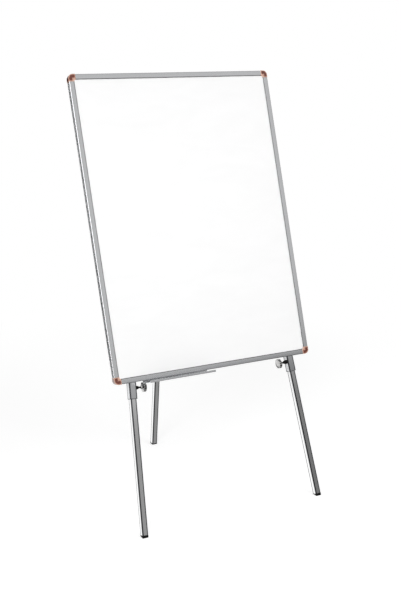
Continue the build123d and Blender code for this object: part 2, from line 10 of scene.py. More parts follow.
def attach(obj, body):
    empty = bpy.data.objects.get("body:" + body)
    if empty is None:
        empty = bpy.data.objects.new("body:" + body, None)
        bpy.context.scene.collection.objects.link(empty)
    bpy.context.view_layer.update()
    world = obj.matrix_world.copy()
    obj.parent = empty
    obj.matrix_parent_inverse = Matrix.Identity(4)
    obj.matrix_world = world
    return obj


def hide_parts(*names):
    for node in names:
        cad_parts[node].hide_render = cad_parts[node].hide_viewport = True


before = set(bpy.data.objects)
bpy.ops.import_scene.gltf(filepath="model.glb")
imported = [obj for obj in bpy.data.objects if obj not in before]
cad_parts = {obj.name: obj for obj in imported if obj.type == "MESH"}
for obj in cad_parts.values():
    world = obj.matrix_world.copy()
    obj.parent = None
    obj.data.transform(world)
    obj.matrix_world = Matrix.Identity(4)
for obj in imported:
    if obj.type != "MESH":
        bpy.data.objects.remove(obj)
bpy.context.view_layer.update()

# Camera: a 57 mm view from the left and a little above the board's top, looking down 18 degrees, with the
# lens shifted as the photograph's framing needs. It was fitted to the board, the legs and the feet.
scene = bpy.context.scene
scene.view_settings.view_transform = "Standard"
camera_place = Vector((-1.4154, -2.8697, 1.5386))
camera_yaw = radians(26.882)
camera_pitch = radians(-17.569)
forward = Vector(
    (sin(camera_yaw) * cos(camera_pitch), cos(camera_yaw) * cos(camera_pitch), sin(camera_pitch))
)
camera_right = Vector((cos(camera_yaw), -sin(camera_yaw), 0))
camera_data = bpy.data.cameras.new("camera")
camera_data.sensor_width = 36.0
camera_data.lens = 57.41
camera_data.shift_y = 0.065
camera = bpy.data.objects.new("camera", camera_data)
camera_axes = Matrix((camera_right, camera_right.cross(forward), -forward)).transposed()
camera.matrix_world = Matrix.Translation(camera_place) @ camera_axes.to_4x4()
scene.collection.objects.link(camera)
scene.camera = camera


# Studio: a white room with a white floor. Satin metal mirrors that room: white behind the easel, a softbox
# high on the left, a dim camera side, and grey flags at both sides and above that darken round corners.
def node(tree, kind, settings=None, links=None):
    """Add one shader node, with its properties or plain sockets set and its inputs linked.

    A link comes from a socket, or from a node, whose first output is then meant.
    """
    made = tree.nodes.new("ShaderNode" + kind)
    for key, value in (settings or {}).items():
        if isinstance(key, str) and hasattr(made, key):
            setattr(made, key, value)
        else:
            made.inputs[key].default_value = value
    for key, source in (links or {}).items():
        tree.links.new(getattr(source, "outputs", [source])[0], made.inputs[key])
    return made


world = bpy.data.worlds.new("studio")
scene.world = world
world.use_nodes = True
sky = world.node_tree
sky.nodes.clear()
seen_by = node(sky, "LightPath")
direction = node(sky, "TexCoord")
axes = node(sky, "SeparateXYZ", links={0: direction.outputs["Generated"]})
SMOOTH = {"interpolation_type": "SMOOTHSTEP"}
low_front = node(sky, "MapRange", {1: 0.36, 2: 0.53, 3: 0.32, 4: 0.15}, {0: axes.outputs["X"]})
front = node(
    sky, "MapRange", {**SMOOTH, 1: 0.23, 2: 0.27, 4: 0.60}, {0: axes.outputs["Z"], 3: low_front}
)
box_left = node(sky, "MapRange", {**SMOOTH, 1: -0.1, 2: -0.3}, {0: axes.outputs["X"]})
box_high = node(sky, "MapRange", {**SMOOTH, 1: 0.15, 2: 0.35}, {0: axes.outputs["Z"]})
softbox = node(sky, "Math", {"operation": "MULTIPLY"}, {0: box_left, 1: box_high})
camera_side = node(sky, "Mix", {"data_type": "FLOAT", 3: 4.0}, {0: softbox, 2: front})
back = node(sky, "MapRange", {**SMOOTH, 1: -0.03, 2: 0.30, 3: 0.02, 4: 0.9}, {0: axes.outputs["Z"]})
behind = node(sky, "MapRange", {**SMOOTH, 1: -0.1, 2: 0.3}, {0: axes.outputs["Y"]})
walls = node(sky, "Mix", {"data_type": "FLOAT"}, {0: behind, 2: camera_side, 3: back})
sideways = node(sky, "Math", {"operation": "ABSOLUTE"}, {0: axes.outputs["X"]})
outwards = node(sky, "Math", {"operation": "MAXIMUM"}, {0: sideways, 1: axes.outputs["Z"]})
flags = node(sky, "MapRange", {**SMOOTH, 1: 0.62, 2: 0.76}, {0: outwards})
room_tone = node(sky, "Mix", {"data_type": "FLOAT", 3: 0.30}, {0: flags, 2: walls})
white = (1.0, 1.0, 1.0, 1.0)
mirror_room = node(sky, "Background", {"Color": white}, {"Strength": room_tone})
fill_light = node(sky, "Background", {"Color": white, "Strength": 0.45})
white_view = node(sky, "Background", {"Color": white, "Strength": 1.0})
see_through = node(
    sky, "Math", {"operation": "MAXIMUM"},
    {0: seen_by.outputs["Is Glossy Ray"], 1: seen_by.outputs["Is Transmission Ray"]},
)
for_mirrors = node(sky, "MixShader", links={0: see_through, 1: fill_light, 2: mirror_room})
for_camera = node(
    sky, "MixShader", links={0: seen_by.outputs["Is Camera Ray"], 1: for_mirrors, 2: white_view}
)
node(sky, "OutputWorld", links={0: for_camera})


def lamp(name, place, target, size, power):
    """A square soft lamp that looks at a target point; it is left out of what metal mirrors."""
    data = bpy.data.lights.new(name, "AREA")
    data.shape = "SQUARE"
    data.size = size
    data.energy = power
    made = bpy.data.objects.new(name, data)
    made.location = place
    made.rotation_euler = (Vector(target) - Vector(place)).to_track_quat("-Z", "Y").to_euler()
    made.visible_glossy = False
    scene.collection.objects.link(made)


lamp("left_softbox", (-3.0, -3.8, 2.8), (0, 0, 0.7), 2.4, 116.0)
lamp("right_softbox", (2.2, -4.2, 3.0), (0, 0, 0.7), 2.4, 82.0)

floor_reach = 9.0
floor_corners = [(-1, -1), (1, -1), (1, 1), (-1, 1)]
floor_mesh = bpy.data.meshes.new("floor")
floor_mesh.from_pydata(
    [(x * floor_reach, y * floor_reach, 0) for x, y in floor_corners], [], [(0, 1, 2, 3)]
)
floor = bpy.data.objects.new("floor", floor_mesh)
scene.collection.objects.link(floor)
floor_paint = bpy.data.materials.new("matt_white_floor")
floor_paint.use_nodes = True
paint = floor_paint.node_tree
paint.nodes.clear()
# Seen by the camera, the floor keeps the shadow near the feet and turns pure white 1.1 to 2.2 m out, so
# that no horizon shows. Metal that faces back sees a white patch of it under the easel and a grey floor
# round that, nearly black where the left rail's side looks. Metal that faces the camera sees both dim.
floor_ray = node(paint, "LightPath")
floor_spot = node(paint, "TexCoord")
floor_distance = node(paint, "VectorMath", {"operation": "LENGTH"}, {0: floor_spot.outputs["Object"]})
floor_far = node(paint, "MapRange", {**SMOOTH, 1: 1.1, 2: 2.2}, {0: floor_distance.outputs["Value"]})
floor_shift = node(
    paint, "VectorMath", {"operation": "DISTANCE", 1: (-0.3, 0.4, 0.0)},
    {0: floor_spot.outputs["Object"]},
)
floor_patch = node(paint, "MapRange", {**SMOOTH, 1: 0.95, 2: 1.2}, {0: floor_shift.outputs["Value"]})
floor_seen = node(paint, "NewGeometry")
floor_way = node(paint, "SeparateXYZ", links={0: floor_seen.outputs["Incoming"]})
floor_under = node(
    paint, "MapRange", {**SMOOTH, 1: -0.2, 2: 0.2, 3: 1.1, 4: 0.28}, {0: floor_way.outputs["Y"]}
)
floor_flag = node(
    paint, "VectorMath", {"operation": "DOT_PRODUCT", 1: (0.43, -0.87, 0.24)},
    {0: floor_seen.outputs["Incoming"]},
)
floor_out = node(
    paint, "MapRange", {**SMOOTH, 1: 0.88, 2: 0.97, 3: 0.35, 4: 0.02}, {0: floor_flag.outputs["Value"]}
)
floor_front = node(
    paint, "MapRange", {**SMOOTH, 1: -0.2, 2: 0.2, 3: 1.0, 4: 0.12}, {0: floor_way.outputs["Y"]}
)
floor_around = node(paint, "Math", {"operation": "MULTIPLY"}, {0: floor_out, 1: floor_front})
floor_tone = node(
    paint, "Mix", {"data_type": "FLOAT"}, {0: floor_patch, 2: floor_under, 3: floor_around}
)
floor_matt = node(paint, "BsdfDiffuse", {"Color": (0.6, 0.6, 0.6, 1.0)})
floor_glow = node(paint, "Emission", {"Color": white, "Strength": 0.62})
floor_lit = node(paint, "AddShader", links={0: floor_matt, 1: floor_glow})
floor_white = node(paint, "Emission", {"Color": white, "Strength": 1.0})
floor_view = node(paint, "MixShader", links={0: floor_far, 1: floor_lit, 2: floor_white})
floor_mirrored = node(paint, "Emission", {"Color": white}, {"Strength": floor_tone})
floor_other = node(
    paint, "MixShader", links={0: floor_ray.outputs["Is Glossy Ray"], 1: floor_matt, 2: floor_mirrored}
)
floor_mix = node(
    paint, "MixShader", links={0: floor_ray.outputs["Is Camera Ray"], 1: floor_other, 2: floor_view}
)
node(paint, "OutputMaterial", links={0: floor_mix})
floor_mesh.materials.append(floor_paint)

# Frame rails: four lengths of one aluminium extrusion, 18 mm square, satin anodised. Each has a deep
# slot for the panel, with a rounded lip in front, and an undercut accessory groove along its outer side.
MM = 0.001  # sizes below are in millimetres
board_lean = radians(19.25)
board_width = 730.0
board_height = 1000.0
board_foot = np.array((0.0, -196.7671, 480.0))  # middle of the frame's front lower edge
across = np.array((1.0, 0.0, 0.0))
up = np.array((0.0, sin(board_lean), cos(board_lean)))
out = np.array((0.0, -cos(board_lean), sin(board_lean)))


def on_board(to_right, upwards, outwards):
    """A point given across, up and out of the board from the middle of its front lower edge."""
    return board_foot + across * to_right + up * upwards + out * outwards


def plane_at(origin, x_axis, y_axis):
    """A local frame: an origin and three unit axes, the third square to the two that are given."""
    x_axis, y_axis = np.asarray(x_axis, float), np.asarray(y_axis, float)
    return np.asarray(origin, float), np.array((x_axis, y_axis, np.cross(x_axis, y_axis)))


def colour(code):
    """An sRGB hex colour as linear red, green, blue and an alpha of 1."""
    parts = np.array([int(code[i : i + 2], 16) for i in (0, 2, 4)]) / 255.0
    linear = np.where(parts <= 0.04045, parts / 12.92, ((parts + 0.055) / 1.055) ** 2.4)
    return (*linear.tolist(), 1.0)


def outline(corners, radii, inset=0.0, steps=5):
    """A closed outline with the solid on its left as it runs, whose corners are arcs.

    Each corner moves in by inset from both its edges. An arc of radius r starts r times the tangent of
    half the turn before the corner; an outer corner's r shrinks by inset and an inner one's grows.
    """
    corners = np.asarray(corners, float)
    coming = corners - np.roll(corners, 1, 0)
    coming /= np.linalg.norm(coming, axis=1, keepdims=True)
    going = np.roll(coming, -1, 0)
    side_in = np.stack((-coming[:, 1], coming[:, 0]), 1)
    side_out = np.roll(side_in, -1, 0)
    along = (coming * going).sum(1)
    turn = np.arctan2(coming[:, 0] * going[:, 1] - coming[:, 1] * going[:, 0], along)
    bend = np.sign(turn)
    radius = np.maximum(np.broadcast_to(radii, turn.shape) - bend * inset, 0.02)
    moved = corners + inset * (side_in + side_out) / (1 + along)[:, None]
    start = moved - coming * (radius * np.tan(abs(turn) / 2))[:, None]
    centre = start + side_in * (bend * radius)[:, None]
    angle = turn[:, None] * np.linspace(0, 1, steps)
    spoke = -side_in * (bend * radius)[:, None]
    x = spoke[:, :1] * np.cos(angle) - spoke[:, 1:] * np.sin(angle)
    y = spoke[:, :1] * np.sin(angle) + spoke[:, 1:] * np.cos(angle)
    return (centre[:, None] + np.stack((x, y), 2)).reshape(-1, 2)


def rectangle(left, low, right, high):
    """The corners of a rectangle, anticlockwise."""
    return [(left, low), (right, low), (right, high), (left, high)]


def skin(rings, plane, ends="flat"):
    """A skin of quads that join each point of a ring to the next one and to the same ones of the next ring.

    The map runs round the rings in u and from ring to ring in v. The ends are flat faces, or the
    last ring is joined to the first, or they stay open.
    """
    rings = np.asarray(rings, float)
    round_steps = np.linalg.norm(np.roll(rings, -1, 1) - rings, axis=2).mean(0)
    number = np.arange(rings.shape[0] * rings.shape[1]).reshape(rings.shape[:2])
    rows = rings
    if ends == "joined":
        number = np.vstack((number, number[:1]))
        rows = np.concatenate((rings, rings[:1]))
    along_steps = np.linalg.norm(np.diff(rows, axis=0), axis=2).mean(1)
    u = np.append(0, np.cumsum(round_steps))
    v = np.append(0, np.cumsum(along_steps))
    beside = np.roll(number, -1, 1)
    quads = np.stack((number[:-1], beside[:-1], beside[1:], number[1:]), 2).reshape(-1, 4)
    u_near, v_near = np.meshgrid(u[:-1], v[:-1])
    u_far, v_far = np.meshgrid(u[1:], v[1:])
    run = np.stack((u_near, v_near, u_far, v_near, u_far, v_far, u_near, v_far), 2)
    faces = quads.tolist()
    maps = [run.reshape(-1, 2)]
    if ends == "flat":
        faces += [number[0, ::-1].tolist(), number[-1].tolist()]
        maps += [rings[0, ::-1, :2], rings[-1, :, :2]]
    origin, axes3 = plane
    return origin + rings.reshape(-1, 3) @ axes3, faces, np.concatenate(maps)


def join(blocks):
    """Several sets of points, faces and map as one."""
    points, faces, maps = [], [], []
    for block_points, block_faces, block_map in blocks:
        first = sum(len(part) for part in points)
        faces += [[first + corner for corner in face] for face in block_faces]
        points.append(block_points)
        maps.append(block_map)
    return np.concatenate(points), faces, np.concatenate(maps)


def lift(ring, height):
    """An outline's points at one height."""
    return np.column_stack((ring, np.full(len(ring), height)))


def bar(shapes, rows, plane):
    """A bar of any section along its plane's third axis, with flat ends.

    Each shape gives an outline for an inset, the outside first and then its holes, which run
    clockwise; it is carried through rows of (height, inset).
    """
    blocks = []
    for shape in shapes:
        rings = [lift(shape(inset), height) for height, inset in rows]
        blocks.append(skin(rings, plane, "open"))
    points, faces, maps = join(blocks)
    sizes = [len(shape(0)) for shape in shapes]
    starts = np.cumsum([0] + [size * len(rows) for size in sizes[:-1]])
    for row, facing in ((0, -1), (len(rows) - 1, 1)):
        loops = [shape(rows[row][1]) for shape in shapes]
        numbers = [start + row * size + np.arange(size) for start, size in zip(starts, sizes)]
        spots = np.concatenate(loops)
        number = np.concatenate(numbers)
        triangles = tessellate_polygon([[Vector((x, y, 0)) for x, y in loop] for loop in loops])
        corner = np.array(triangles)
        a, b, c = (spots[corner[:, k]] for k in range(3))
        area = (b[:, 0] - a[:, 0]) * (c[:, 1] - a[:, 1]) - (b[:, 1] - a[:, 1]) * (c[:, 0] - a[:, 0])
        corner = corner[abs(area) > 1e-9]
        area = area[abs(area) > 1e-9]
        corner[area * facing < 0] = corner[area * facing < 0, ::-1]
        faces += number[corner].tolist()
        maps = np.concatenate((maps, spots[corner].reshape(-1, 2)))
    return points, faces, maps


def make_piece(name, blocks, finish, body, node_name):
    """One finished piece: its mesh, smooth but for its sharp edges, its material and its body."""
    points, faces, run = join(blocks)
    mesh = bpy.data.meshes.new(name)
    mesh.from_pydata((points * MM).tolist(), [], faces)
    mesh.uv_layers.new(name="run").data.foreach_set("uv", (run * MM).ravel())
    merged = bmesh.new()
    merged.from_mesh(mesh)
    bmesh.ops.remove_doubles(merged, verts=merged.verts, dist=0.002 * MM)
    merged.to_mesh(mesh)
    merged.free()
    mesh.shade_smooth()
    mesh.set_sharp_from_angle(angle=radians(36))
    mesh.materials.append(finish)
    piece = bpy.data.objects.new(name, mesh)
    scene.collection.objects.link(piece)
    weighted = piece.modifiers.new("even_shading", "WEIGHTED_NORMAL")
    weighted.keep_sharp = True
    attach(piece, body)
    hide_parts(node_name)


def new_finish(name, slot=None, **sockets):
    """A material with one Principled shader; gives its tree and the shader too. Its slot argument is not
    used.
    """
    made = bpy.data.materials.new(name)
    made.use_nodes = True
    tree = made.node_tree
    tree.nodes.clear()
    shader = node(tree, "BsdfPrincipled")
    for key, value in sockets.items():
        shader.inputs[key.replace("_", " ")].default_value = value
    node(tree, "OutputMaterial", links={0: shader})
    return made, tree, shader


def pattern(tree, scale, detail=2.0):
    """A noise in object coordinates, which keeps its real size on every piece."""
    place = node(tree, "TexCoord")
    settings = {"Scale": scale, "Detail": detail}
    return node(tree, "TexNoise", settings, {0: place.outputs["Object"]})


def cover(tree, shader, source, tones, rough, span=(0.0, 1.0)):
    """Let a source run a material between two tones and two roughnesses; gives the node of the tone."""
    tone = node(
        tree, "Mix", {"data_type": "RGBA", 6: colour(tones[0]), 7: colour(tones[1])}, {0: source}
    )
    gloss = node(tree, "MapRange", {1: span[0], 2: span[1], 3: rough[0], 4: rough[1]}, {0: source})
    tree.links.new(tone.outputs[2], shader.inputs["Base Color"])
    tree.links.new(gloss.outputs[0], shader.inputs["Roughness"])
    return tone


def raise_by(tree, shader, source, strength, depth):
    """Let a source lift the surface by up to depth, in metres."""
    relief = node(tree, "Bump", {"Strength": strength, "Distance": depth}, {"Height": source})
    tree.links.new(relief.outputs[0], shader.inputs["Normal"])


def anodised(name, slot, tones, rough):
    """Satin anodised extrusion: metal with die lines about 0.7 mm apart that run along its length.

    They show as streaks in tone and in gloss, and a slow cloud of 90 mm comes from the etching bath.
    It gives the material with its tree, its shader, its tone and the way round the section in metres.
    """
    made, tree, shader = new_finish(name, slot, Metallic=1.0)
    run = node(tree, "UVMap", {"uv_map": "run"})
    split = node(tree, "SeparateXYZ", links={0: run})
    along = node(tree, "Mapping", {"Scale": (1 / 0.0007, 1 / 0.35, 1.0)}, {0: run})
    lines = node(tree, "TexNoise", {"Scale": 1.0, "Detail": 3.0}, {"Vector": along})
    both = node(tree, "Mix", {"data_type": "FLOAT", 0: 0.35}, {2: lines, 3: pattern(tree, 11.0)})
    tone = cover(tree, shader, both, tones, rough, (0.3, 0.7))
    raise_by(tree, shader, lines, 0.25, 0.00004)
    return made, tree, shader, tone.outputs[2], split.outputs["X"]


def frame_finish(name, edge):
    """Anodised section with painted shade in its grooves: ambient occlusion greys them, so that they read
    dark.

    A painted shade line, thin and grey, also runs along the front inner edge, at edge metres round the
    section. An edge that lies off the section draws none.
    """
    tones = ("dcdde0", "eeeff0")
    made, tree, shader, tone, way_round = anodised(name, "frame_aluminium", tones, (0.14, 0.22))
    # Painted shade: ambient occlusion within 12 mm darkens the grooves and recesses towards dark grey.
    hidden = node(tree, "AmbientOcclusion", {"only_local": True, "Distance": 0.012, "samples": 8})
    dust_and_shade = node(tree, "MapRange", {1: 0.25, 2: 0.6}, {0: hidden.outputs["AO"]})
    # Painted shade: a thin dark line along the front inner edge, where the lip meets the panel.
    off_edge = node(tree, "Math", {"operation": "SUBTRACT", 1: edge}, {0: way_round})
    from_edge = node(tree, "Math", {"operation": "ABSOLUTE"}, {0: off_edge})
    off_shade_line = node(tree, "MapRange", {**SMOOTH, 1: 0.0006, 2: 0.0026, 3: 0.3}, {0: from_edge})
    unshaded = node(tree, "Math", {"operation": "MINIMUM"}, {0: dust_and_shade, 1: off_shade_line})
    shaded_tone = node(tree, "Mix", {"data_type": "RGBA", 6: colour("3a3b3c")}, {0: unshaded, 7: tone})
    tree.links.new(shaded_tone.outputs[2], shader.inputs["Base Color"])
    return made


frame_aluminium = frame_finish("satin_anodised_frame_aluminium", 0.019)

rail_size = 18.0
corner_leg = 24.0
lip_depth = 3.0
slot_depth = 8.8
rail_corners = [
    (0, 0), (18, 0), (18, 3), (12, 3), (12, 11.8), (18, 11.8), (18, 13.2), (12, 13.2),
    (12, 16.6), (18, 16.6), (18, 18), (0, 18), (0, 14.25), (1.4, 14.25), (1.4, 16), (4, 16),
    (4, 2), (1.4, 2), (1.4, 3.75), (0, 3.75),
]  # fmt: skip
rail_radii = [2.5, 1.2, 0.5, 0.2, 0.2, 0.4, 0.4, 0.2, 0.2, 0.4]
rail_radii += [0.6, 0.8, 0.35, 0.2, 0.2, 0.3, 0.3, 0.2, 0.2, 0.35]
chamber_corners = [(5.4, 1.4), (5.4, 16.6), (10.6, 16.6), (10.6, 1.4)]
half_width = board_width / 2
half_height = board_height / 2
rail_places = {
    "top": ((0, board_height), -up, half_width - corner_leg),
    "bottom": ((0, 0), up, half_width - corner_leg),
    "left": ((-half_width, half_height), across, half_height - corner_leg),
    "right": ((half_width, half_height), -across, half_height - corner_leg),
}
for side, ((to_right, upwards), inward, half_length) in rail_places.items():
    rail_plane = plane_at(on_board(to_right, upwards, 0), inward, -out)
    rail_rows = [(-half_length, 0.0), (half_length, 0.0)]
    rail_section = [
        lambda inset: outline(rail_corners, rail_radii, inset),
        lambda inset: outline(chamber_corners, 0.3, inset, 3),
    ]
    make_piece(
        f"{side}_frame_extrusion", [bar(rail_section, rail_rows, rail_plane)], frame_aluminium, "board",
        f"{side}_rail",
    )

# Corner pieces: orange plastic mouldings, pushed into the rails on tongues. They stand 0.6 mm proud of
# the rails, with a big outer radius and a softly rounded front, and hold the panel's corners in a slot.
corner_plastic, tree, shader = new_finish(
    "moulded_orange_plastic", "corner_plastic", IOR=1.49, Coat_Weight=1.0, Coat_Roughness=0.08
)
# Polypropylene mouldings have a very fine sparked texture, a slow mottle in the pigment and a soft gloss.
spark = pattern(tree, 2200.0)
tone = node(
    tree, "Mix", {"data_type": "RGBA", 6: colour("4f2317"), 7: colour("763726")},
    {0: pattern(tree, 120.0, 3.0)},
)
gloss = node(tree, "MapRange", {3: 0.18, 4: 0.32}, {0: spark})
tree.links.new(gloss.outputs[0], shader.inputs["Roughness"])
# Painted highlight: the edges are painted pale peach where the plastic is less than 4 mm deep.
depth = node(
    tree, "AmbientOcclusion", {"only_local": True, "inside": True, "samples": 8, "Distance": 0.004}
)
edge_highlight = node(tree, "MapRange", {**SMOOTH, 1: 0.96, 2: 0.74, 4: 0.9}, {0: depth.outputs["AO"]})
highlighted_tone = node(tree, "Mix", {"data_type": "RGBA", 7: colour("dcae98")}, {0: edge_highlight, 6: tone.outputs[2]})
tree.links.new(highlighted_tone.outputs[2], shader.inputs["Base Color"])
raise_by(tree, shader, spark, 0.3, 0.00006)

proud = 0.6
corner_round = 1.5
tongue_near, tongue_far = 5.55, 10.45
tongue_start, tongue_end = 23.9, 42.0
tongue_back, tongue_front = -16.45, -1.55
tongue_chamfer = 0.4
body_corners = [(-0.6, -0.6), (24, -0.6), (24, 18.6), (18.6, 18.6), (18.6, 24), (-0.6, 24)]
slot_corners = [(-0.6, -0.6), (24, -0.6), (24, 12), (12, 12), (12, 24), (-0.6, 24)]
corner_radii = [15.0, 1.0, 1.0, 2.0, 1.0, 1.0]
slot_radii = [15.0, 1.0, 0.3, 0.3, 0.3, 1.0]


def corner_piece(right, top):
    """Rings up through the corner piece's depth; the slot is where they draw back behind the lip.

    The front edge is a quarter round: a ring is drawn in by the radius times one less the cosine.
    """
    back = -rail_size - proud
    slot_back = -lip_depth - slot_depth
    layers = [(back, body_corners, corner_radii, 0.5), (back + 0.5, body_corners, corner_radii, 0.0)]
    layers += [(slot_back, body_corners, corner_radii, 0.0), (slot_back, slot_corners, slot_radii, 0.0)]
    layers += [(-lip_depth, slot_corners, slot_radii, 0.0), (-lip_depth, body_corners, corner_radii, 0.0)]
    for angle in np.linspace(0, pi / 2, 7):
        height = proud - corner_round * (1 - sin(angle))
        layers.append((height, body_corners, corner_radii, corner_round * (1 - cos(angle))))
    rings = [lift(outline(corners, radii, inset, 9), height) for height, corners, radii, inset in layers]
    blocks = [np.array(rings)]
    sideways_tongue = rectangle(tongue_start, tongue_near, tongue_end, tongue_far)
    upright_tongue = rectangle(tongue_near, tongue_start, tongue_far, tongue_end)
    for tongue in (sideways_tongue, upright_tongue):
        insets = (tongue_chamfer, 0.0, 0.0, tongue_chamfer)
        heights = (tongue_back, tongue_back + tongue_chamfer, tongue_front - tongue_chamfer, tongue_front)
        rings = [lift(outline(tongue, 0.6, inset, 4), height) for inset, height in zip(insets, heights)]
        blocks.append(np.array(rings))
    flip = np.array((-1.0 if right else 1.0, -1.0 if top else 1.0, 1.0))
    origin = on_board(half_width if right else -half_width, board_height if top else 0, 0)
    plane = plane_at(origin, across, up)
    made = []
    for rings in blocks:
        rings = rings * flip
        if right != top:
            rings = rings[:, ::-1]
        made.append(skin(rings, plane))
    return made


for right in (False, True):
    for top in (False, True):
        corner_name = f"{'top' if top else 'bottom'}_{'right' if right else 'left'}"
        make_piece(
            f"{corner_name}_corner_moulding", corner_piece(right, top), corner_plastic, "board",
            f"{corner_name}_corner",
        )

# Panel: a white enamelled steel sheet bonded to a fibreboard core, with a thin galvanised steel sheet
# behind as a balance. Its edges are held in the rails' slots, so that only the two sheets show.
white_enamel, tree, shader = new_finish("gloss_white_enamel", "white_enamel", IOR=1.52, Coat_Weight=0.3)
# Fired enamel flows to a glassy skin with a faint orange peel of about 2 mm; years of wiping leave wide
# soft arcs that are a trace greyer and a little less glossy.
place = node(tree, "TexCoord")
stretch = node(tree, "Mapping", {"Scale": (3.0, 9.0, 9.0)}, {0: place.outputs["Object"]})
wipes = node(tree, "TexNoise", {"Scale": 1.6, "Detail": 5.0, "Distortion": 1.2}, {0: stretch})
haze = node(tree, "MapRange", {1: 0.2, 2: 0.8}, {0: wipes})
cover(tree, shader, haze, ("f7f7f7", "f4f4f4"), (0.20, 0.26))
raise_by(tree, shader, pattern(tree, 480.0, 1.0), 0.15, 0.00004)

galvanised, tree, shader = new_finish("galvanised_steel_sheet", "galvanised_steel", Metallic=1.0)
# Hot-dip zinc freezes in spangles about 12 mm across. Each has its own tone and gloss, with feathery
# crystals inside it about 1 mm wide.
place = node(tree, "TexCoord")
wobble = node(tree, "TexNoise", {"Scale": 90.0, "Detail": 2.0}, {0: place.outputs["Object"]})
shifted = node(
    tree, "Mix", {"data_type": "VECTOR", 0: 0.012},
    {4: place.outputs["Object"], 5: wobble.outputs["Color"]},
)
spangle = node(tree, "TexVoronoi", {"Scale": 85.0, "Randomness": 1.0}, {0: shifted.outputs[1]})
grain = node(tree, "SeparateColor", links={0: spangle.outputs["Color"]})
crystal = node(tree, "Mix", {"data_type": "FLOAT", 0: 0.25}, {2: grain, 3: pattern(tree, 900.0)})
cover(tree, shader, crystal, ("a6abaf", "c9cdd0"), (0.34, 0.56))
raise_by(tree, shader, crystal, 0.3, 0.00003)

fibreboard, tree, shader = new_finish("pressed_fibreboard")
# Steamed wood fibres, 2 to 3 mm long and pressed flat: a matt, speckled brown.
cover(tree, shader, pattern(tree, 420.0, 4.0), ("7c5c3c", "a78560"), (0.75, 0.95))

panel_margin = 12.6
sheet_front = -3.1
sheet_back = -3.45
core_back = -11.45
backing_back = -11.7
panel_corners = rectangle(
    panel_margin - half_width, panel_margin, half_width - panel_margin, board_height - panel_margin
)
board_plane = plane_at(on_board(0, 0, 0), across, up)
for name, low, high, edge, finish, node_name in (
    ("enamelled_sheet", sheet_back, sheet_front, 0.12, white_enamel, "writing_sheet"),
    ("galvanised_sheet", backing_back, core_back, 0.08, galvanised, "backing_sheet"),
):
    sheet_rows = [(low, edge), (low + edge, 0.0), (high - edge, 0.0), (high, edge)]
    sheet = bar([lambda inset: outline(panel_corners, 1.0, inset)], sheet_rows, board_plane)
    make_piece(name, [sheet], finish, "board", node_name)


def refinish(node_name, finish):
    """Give a hidden piece of the CAD model its own finish instead of the plain one."""
    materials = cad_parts[node_name].data.materials
    materials.clear()
    materials.append(finish)


refinish("board_core", fibreboard)

# Screws: zinc-plated steel, with pan heads and cross recesses. Small ones go through the rails' backs
# into the corner pieces' tongues, larger ones hold the leg saddles on the top and bottom rails.
zinc_plate, tree, shader = new_finish("bright_zinc_plated_steel", "zinc_plated_steel", Metallic=1.0)
# Clear zinc plate is bluish silver, slightly cloudy over 25 mm, with a fine grain from the steel.
cover(tree, shader, pattern(tree, 40.0, 3.0), ("aeb3b9", "cdd0d2"), (0.22, 0.42), (0.3, 0.7))
raise_by(tree, shader, pattern(tree, 1600.0, 1.0), 0.2, 0.00004)

turn_steps = 40


def polar(radius, angle, height):
    """Points round the third axis: x is the radius times the angle's cosine, y the same with its sine."""
    x, y = radius * np.cos(angle), radius * np.sin(angle)
    return np.stack(np.broadcast_arrays(x, y, height), -1)


def turned(profile, plane, ends="flat", steps=turn_steps):
    """A turned form: each radius and height of the profile is one ring of points."""
    angle = np.linspace(0, tau, steps, endpoint=False)
    radius, height = np.asarray(profile, float).T[:, :, None]
    return skin(polar(radius, angle, height), plane, ends)


def pan_head_screw(plane, head, height, shank, length):
    """A pan head with a cross recess, on a plain shank.

    The head's height falls as the square root of one less the radius' share to the power 3.2. The
    recess is as deep as the cross allows, from none at its edge to full depth a little inside it.
    """
    angle = np.linspace(0, tau, 48, endpoint=False)
    share = np.array([1.0, 0.995, 0.97, 0.92, 0.84, 0.74, 0.64, 0.54, 0.46, 0.38, 0.3, 0.22, 0.14, 0.07])
    radius = share[:, None] * head / 2
    x, y = radius * np.cos(angle), radius * np.sin(angle)
    arm = head * 0.075
    across_arm = np.minimum(abs(x), abs(y))
    along_arm = np.maximum(abs(x), abs(y))
    inside = np.minimum((arm - across_arm) / (arm * 0.5), (head * 0.27 - along_arm) / (arm * 0.9))
    recess = np.clip(inside, 0, 1) * height * 0.62
    dome = height * np.sqrt(np.clip(1 - share**3.2, 0, 1))[:, None]
    top = np.stack((x, y, dome - recess), 2)
    ring = polar(1.0, angle, 0.0)
    neck = [ring * (shank / 2, shank / 2, 1) + (0, 0, depth) for depth in (-length, 0.0)]
    under = ring * (head / 2, head / 2, 1)
    neck[0][:, :2] *= 0.6
    return skin(np.concatenate((neck, [under], top)), plane)


def facing_back(to_right, upwards, depth):
    """A local frame on the board's back whose third axis points back."""
    return plane_at(on_board(to_right, upwards, -depth), -across, up)


chamber_middle = 8.0
screw_from_end = 33.0
corner_screw_spots = [
    (right * (half_width - from_side), half_height + top * (half_height - from_end))
    for right in (-1, 1)
    for top in (-1, 1)
    for from_side, from_end in ((chamber_middle, screw_from_end), (screw_from_end, chamber_middle))
]
make_piece(
    "corner_pan_head_screws",
    [pan_head_screw(facing_back(*spot, rail_size), 5.0, 1.8, 2.5, 9.0) for spot in corner_screw_spots],
    zinc_plate, "board", "corner_screws",
)

# Outer tubes of the front legs: 25 mm square aluminium tube with 1.2 mm walls and 1.6 mm corners, held
# against the back of the frame and splayed outwards. They end just under the board's lower edge.


